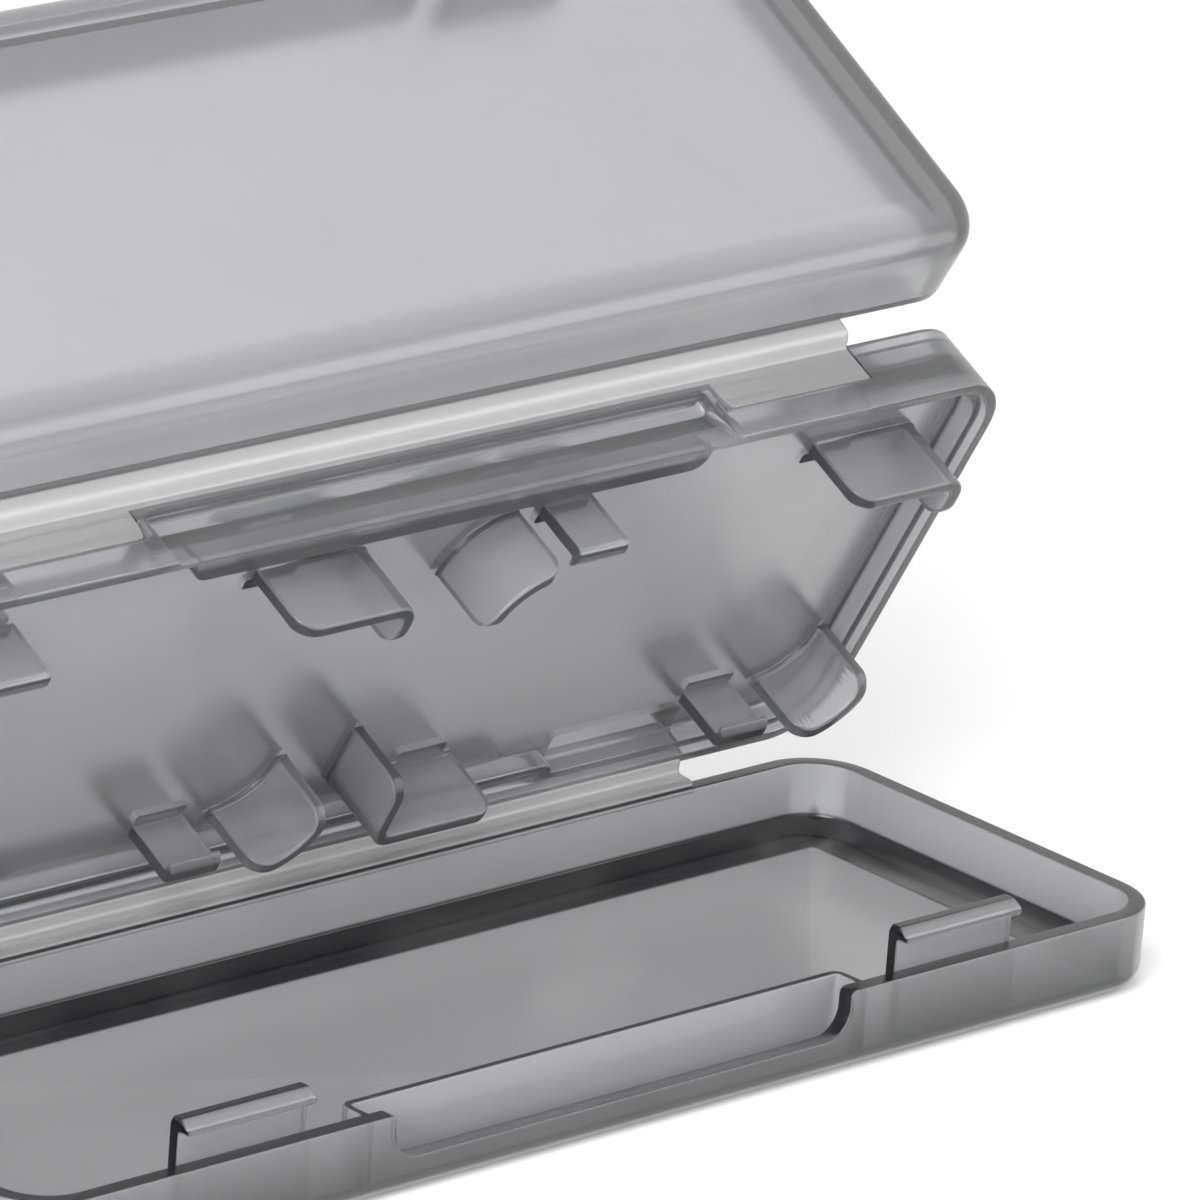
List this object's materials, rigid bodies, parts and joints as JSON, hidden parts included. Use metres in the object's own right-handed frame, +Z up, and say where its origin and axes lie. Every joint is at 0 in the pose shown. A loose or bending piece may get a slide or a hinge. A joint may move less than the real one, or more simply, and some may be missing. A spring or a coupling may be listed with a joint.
{
  "type": "game card case",
  "caption": "Pocket case that folds in a Z: two shallow smoke grey covers, a card leaf between them with posts and snap fingers, film hinges, snap hooks and thumb notches.",
  "frame": {"origin": "middle of the bottom cover's underside", "axes": "+X along the case and its hinge lines, -Y towards the side that opens, +Z up from the table"},
  "size_m": [0.0916, 0.0501, 0.0586],
  "materials": {
    "cover": "smoke grey translucent polypropylene, satin",
    "leaf": "smoke grey translucent polypropylene, satin",
    "film": "clear grey polypropylene film, drawn thin and glossy",
    "hook_or_finger": "smoke grey translucent polypropylene, satin"
  },
  "bodies": {
    "tray": {"bottom_cover": "cover", "rear_strip_tray_half": "film"},
    "leaf": {"card_leaf": "leaf", "rear_strip_leaf_half": "film", "front_strip_leaf_half": "film"},
    "cover": {"top_cover": "cover", "front_strip_cover_half": "film"},
    "tray_hook_left_body": {"tray_hook_left": "hook_or_finger"},
    "tray_hook_right_body": {"tray_hook_right": "hook_or_finger"},
    "cover_hook_left_body": {"cover_hook_left": "hook_or_finger"},
    "cover_hook_right_body": {"cover_hook_right": "hook_or_finger"},
    "card_finger_over_left_back_body": {"card_finger_over_left_back": "hook_or_finger"},
    "card_finger_over_left_front_body": {"card_finger_over_left_front": "hook_or_finger"},
    "card_finger_over_right_back_body": {"card_finger_over_right_back": "hook_or_finger"},
    "card_finger_over_right_front_body": {"card_finger_over_right_front": "hook_or_finger"},
    "card_finger_under_left_back_body": {"card_finger_under_left_back": "hook_or_finger"},
    "card_finger_under_left_front_body": {"card_finger_under_left_front": "hook_or_finger"},
    "card_finger_under_right_back_body": {"card_finger_under_right_back": "hook_or_finger"},
    "card_finger_under_right_front_body": {"card_finger_under_right_front": "hook_or_finger"}
  },
  "joints": [
    {"name": "leaf_hinge", "type": "hinge", "parent": "tray", "child": "leaf", "pos_m": [0, 0.0168, 0.0056], "axis": [-1, 0, 0], "range_deg": [-62.1, 117.9]},
    {"name": "cover_hinge", "type": "hinge", "parent": "leaf", "child": "cover", "pos_m": [0, 0.00603, 0.03791], "axis": [1, 0, 0], "range_deg": [-92.3, 87.7]},
    {"name": "tray_hook_left_flex", "type": "hinge", "parent": "tray", "child": "tray_hook_left_body", "pos_m": [-0.0285, -0.01355, 0.0014], "axis": [-1, 0, 0], "range_deg": [-1.5, 3.4], "stiffness_Nm_per_rad": 0.13},
    {"name": "tray_hook_right_flex", "type": "hinge", "parent": "tray", "child": "tray_hook_right_body", "pos_m": [0.0285, -0.01355, 0.0014], "axis": [-1, 0, 0], "range_deg": [-1.5, 3.4], "stiffness_Nm_per_rad": 0.13},
    {"name": "cover_hook_left_flex", "type": "hinge", "parent": "cover", "child": "cover_hook_left_body", "pos_m": [-0.0285, 0.03014, 0.05681], "axis": [-1, 0, 0], "range_deg": [-1.5, 3.4], "stiffness_Nm_per_rad": 0.13},
    {"name": "cover_hook_right_flex", "type": "hinge", "parent": "cover", "child": "cover_hook_right_body", "pos_m": [0.0285, 0.03014, 0.05681], "axis": [-1, 0, 0], "range_deg": [-1.5, 3.4], "stiffness_Nm_per_rad": 0.13},
    {"name": "card_finger_over_left_back_flex", "type": "hinge", "parent": "leaf", "child": "card_finger_over_left_back_body", "pos_m": [-0.00985, 0.01766, 0.01177], "axis": [-1, 0, 0], "range_deg": [-2, 8], "stiffness_Nm_per_rad": 0.08},
    {"name": "card_finger_over_left_front_flex", "type": "hinge", "parent": "leaf", "child": "card_finger_over_left_front_body", "pos_m": [-0.03315, 0.00718, 0.03157], "axis": [1, 0, 0], "range_deg": [-2, 8], "stiffness_Nm_per_rad": 0.08},
    {"name": "card_finger_over_right_back_flex", "type": "hinge", "parent": "leaf", "child": "card_finger_over_right_back_body", "pos_m": [0.03535, 0.01766, 0.01177], "axis": [-1, 0, 0], "range_deg": [-2, 8], "stiffness_Nm_per_rad": 0.08},
    {"name": "card_finger_over_right_front_flex", "type": "hinge", "parent": "leaf", "child": "card_finger_over_right_front_body", "pos_m": [0.01205, 0.00718, 0.03157], "axis": [1, 0, 0], "range_deg": [-2, 8], "stiffness_Nm_per_rad": 0.08},
    {"name": "card_finger_under_left_back_flex", "type": "hinge", "parent": "leaf", "child": "card_finger_under_left_back_body", "pos_m": [-0.00985, 0.01616, 0.01098], "axis": [1, 0, 0], "range_deg": [-2, 8], "stiffness_Nm_per_rad": 0.08},
    {"name": "card_finger_under_left_front_flex", "type": "hinge", "parent": "leaf", "child": "card_finger_under_left_front_body", "pos_m": [-0.03315, 0.00568, 0.03077], "axis": [-1, 0, 0], "range_deg": [-2, 8], "stiffness_Nm_per_rad": 0.08},
    {"name": "card_finger_under_right_back_flex", "type": "hinge", "parent": "leaf", "child": "card_finger_under_right_back_body", "pos_m": [0.03535, 0.01616, 0.01098], "axis": [1, 0, 0], "range_deg": [-2, 8], "stiffness_Nm_per_rad": 0.08},
    {"name": "card_finger_under_right_front_flex", "type": "hinge", "parent": "leaf", "child": "card_finger_under_right_front_body", "pos_m": [0.01205, 0.00568, 0.03077], "axis": [-1, 0, 0], "range_deg": [-2, 8], "stiffness_Nm_per_rad": 0.08}
  ]
}
